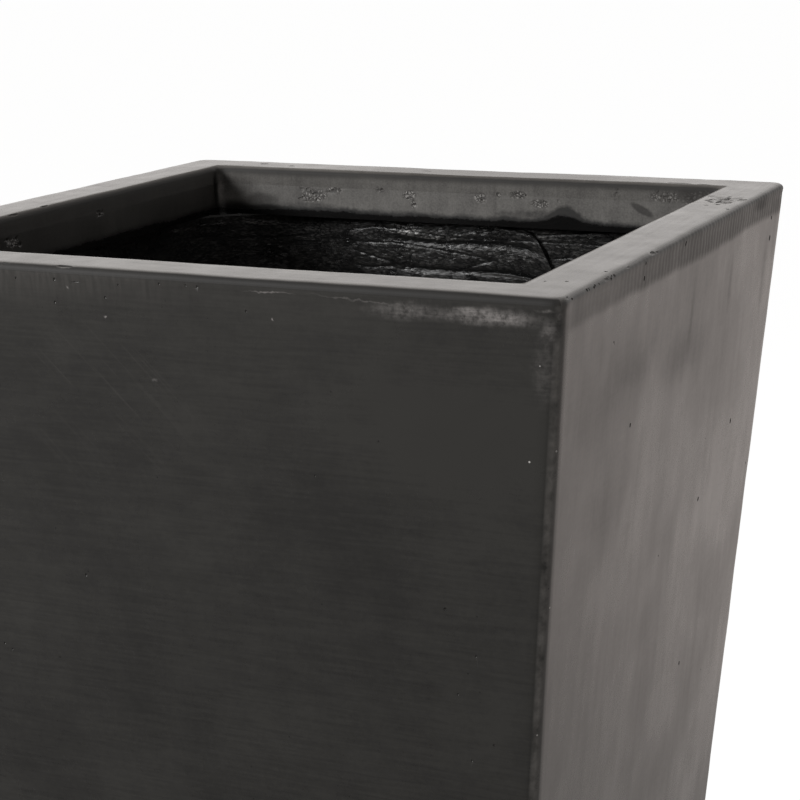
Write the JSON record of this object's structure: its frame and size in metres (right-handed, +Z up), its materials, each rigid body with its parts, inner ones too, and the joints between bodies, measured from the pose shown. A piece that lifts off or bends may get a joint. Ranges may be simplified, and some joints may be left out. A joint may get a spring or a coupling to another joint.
{
  "type": "planter",
  "caption": "Tall square cast stone planter that tapers to its foot, with a turned-in rim, a black glass-fibre lining laid in lapped sheets and a lift-out rubber drain plug.",
  "frame": {"origin": "centre of the foot, on the floor", "axes": "+Z up to the mouth, -Y out of the front face, +X out of the right face"},
  "size_m": [0.3595, 0.3596, 0.65],
  "materials": {
    "cast_stone": "sealed, satin, mottled, with small pits and chips",
    "glass_laminate": "glossy black resin over wrinkled glass fibre",
    "plug_rubber": "matt moulded rubber"
  },
  "bodies": {
    "planter": {"stone_shell": "cast_stone", "floor_mat": "glass_laminate", "corner_strip_back_right": "glass_laminate", "corner_strip_back_left": "glass_laminate", "corner_strip_front_left": "glass_laminate", "corner_strip_front_right": "glass_laminate", "wall_mat_back": "glass_laminate", "wall_mat_left": "glass_laminate", "wall_mat_front": "glass_laminate", "wall_mat_right": "glass_laminate"},
    "plug": {"drain_plug": "plug_rubber"}
  },
  "joints": [
    {"name": "plug_lift", "type": "slide", "parent": "planter", "child": "plug", "axis": [0, 0, 1], "range_m": [0, 0.66]}
  ]
}
